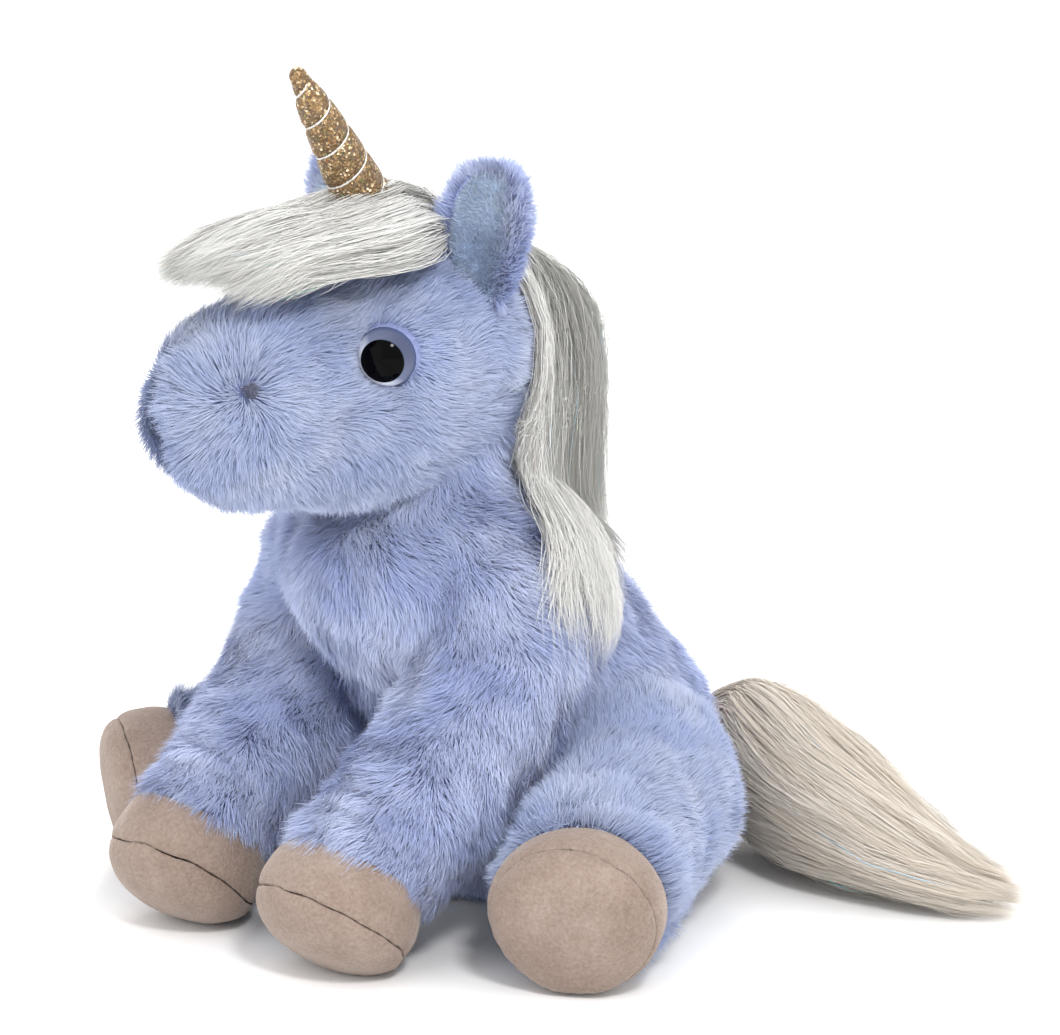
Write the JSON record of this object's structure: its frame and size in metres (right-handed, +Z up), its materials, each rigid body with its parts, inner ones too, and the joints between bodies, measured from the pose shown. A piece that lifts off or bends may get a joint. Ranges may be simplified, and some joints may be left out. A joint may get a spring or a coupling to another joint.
{
  "type": "plush unicorn",
  "caption": "Sitting plush unicorn with a fabric horn, long forelock, mane and tail, safety eyes and velour hooves; head, ears, horn, legs and tail move.",
  "frame": {"origin": "middle of the flat seat under the rump, at floor height", "axes": "+Z up from the floor; the unicorn faces -Y; +X is the left side of the unicorn, where the tail lies"},
  "size_m": [0.263, 0.2436, 0.265],
  "materials": {
    "body_fur": "medium-pile plush in lavender blue",
    "filling": "polyester fibre filling",
    "hoof_velour": "short taupe velour",
    "ear_lining": "short pale blue velour",
    "pouch_cloth": "plain cotton bag of plastic pellets",
    "horn_fabric": "gold metallic knit",
    "horn_thread": "silver-white metallic thread",
    "long_hair": "long off-white fibre with sparse iridescent tinsel",
    "tail_hair": "long cream fibre with sparse iridescent tinsel",
    "eye_plastic": "polished safety eye, black with a silver-grey rim",
    "washer_plastic": "moulded washer",
    "stitch_thread": "dark blue-grey thread"
  },
  "bodies": {
    "torso": {"torso_cover": "body_fur", "torso_filling": "filling", "pellet_pouch": "pouch_cloth", "mane_fall": "long_hair"},
    "neck": {"neck_filling": "filling"},
    "head": {"head_cover": "body_fur", "head_filling": "filling", "forelock": "long_hair", "mane": "long_hair", "eye_left": "eye_plastic", "eye_right": "eye_plastic", "eye_washer_left": "washer_plastic", "eye_washer_right": "washer_plastic", "nostril_left": "stitch_thread", "nostril_right": "stitch_thread"},
    "horn": {"horn_cover": "horn_fabric", "horn_filling": "filling", "horn_thread": "horn_thread"},
    "ear_left": {"ear_left_back": "body_fur", "ear_left_lining": "ear_lining"},
    "ear_right": {"ear_right_back": "body_fur", "ear_right_lining": "ear_lining"},
    "front_leg_left": {"front_leg_left_cover": "body_fur", "front_leg_left_filling": "filling", "front_hoof_left": "hoof_velour", "front_sole_left": "hoof_velour"},
    "front_leg_right": {"front_leg_right_cover": "body_fur", "front_leg_right_filling": "filling", "front_hoof_right": "hoof_velour", "front_sole_right": "hoof_velour"},
    "rear_leg_left": {"rear_leg_left_cover": "body_fur", "rear_leg_left_filling": "filling", "rear_hoof_left": "hoof_velour", "rear_sole_left": "hoof_velour"},
    "rear_leg_right": {"rear_leg_right_cover": "body_fur", "rear_leg_right_filling": "filling", "rear_hoof_right": "hoof_velour", "rear_sole_right": "hoof_velour"},
    "tail": {"tail_base": "body_fur", "tail_hair": "tail_hair"}
  },
  "joints": [
    {"name": "neck_turn", "type": "hinge", "parent": "torso", "child": "neck", "pos_m": [0, -0.054, 0.152], "axis": [0, 0, 1], "range_deg": [-20, 20], "stiffness_Nm_per_rad": 0.8},
    {"name": "head_nod", "type": "hinge", "parent": "neck", "child": "head", "pos_m": [0, -0.054, 0.152], "axis": [1, 0, 0], "range_deg": [-8, 12], "stiffness_Nm_per_rad": 0.8},
    {"name": "horn_bend", "type": "hinge", "parent": "head", "child": "horn", "pos_m": [0, -0.067, 0.206], "axis": [1, 0, 0], "range_deg": [-9, 9], "stiffness_Nm_per_rad": 0.1},
    {"name": "ear_left_fold", "type": "hinge", "parent": "head", "child": "ear_left", "pos_m": [0.0275, -0.0585, 0.194], "axis": [0.9491, 0.2419, -0.2017], "range_deg": [-24, 8], "stiffness_Nm_per_rad": 0.03},
    {"name": "ear_right_fold", "type": "hinge", "parent": "head", "child": "ear_right", "pos_m": [-0.0275, -0.0585, 0.194], "axis": [0.9491, -0.2419, 0.2017], "range_deg": [-24, 8], "stiffness_Nm_per_rad": 0.03},
    {"name": "front_leg_left_lift", "type": "hinge", "parent": "torso", "child": "front_leg_left", "pos_m": [0.044, -0.052, 0.098], "axis": [-1, 0, 0], "range_deg": [0, 24], "stiffness_Nm_per_rad": 0.15},
    {"name": "front_leg_right_lift", "type": "hinge", "parent": "torso", "child": "front_leg_right", "pos_m": [-0.044, -0.052, 0.098], "axis": [-1, 0, 0], "range_deg": [0, 24], "stiffness_Nm_per_rad": 0.15},
    {"name": "rear_leg_left_splay", "type": "hinge", "parent": "torso", "child": "rear_leg_left", "pos_m": [0.05, -0.014, 0.036], "axis": [0, 0, 1], "range_deg": [0, 22], "stiffness_Nm_per_rad": 0.2},
    {"name": "rear_leg_right_splay", "type": "hinge", "parent": "torso", "child": "rear_leg_right", "pos_m": [-0.05, -0.014, 0.036], "axis": [0, 0, -1], "range_deg": [0, 22], "stiffness_Nm_per_rad": 0.2},
    {"name": "tail_swing", "type": "hinge", "parent": "torso", "child": "tail", "pos_m": [0, 0.0618, 0.033], "axis": [0, 0, 1], "range_deg": [0, 75]}
  ]
}
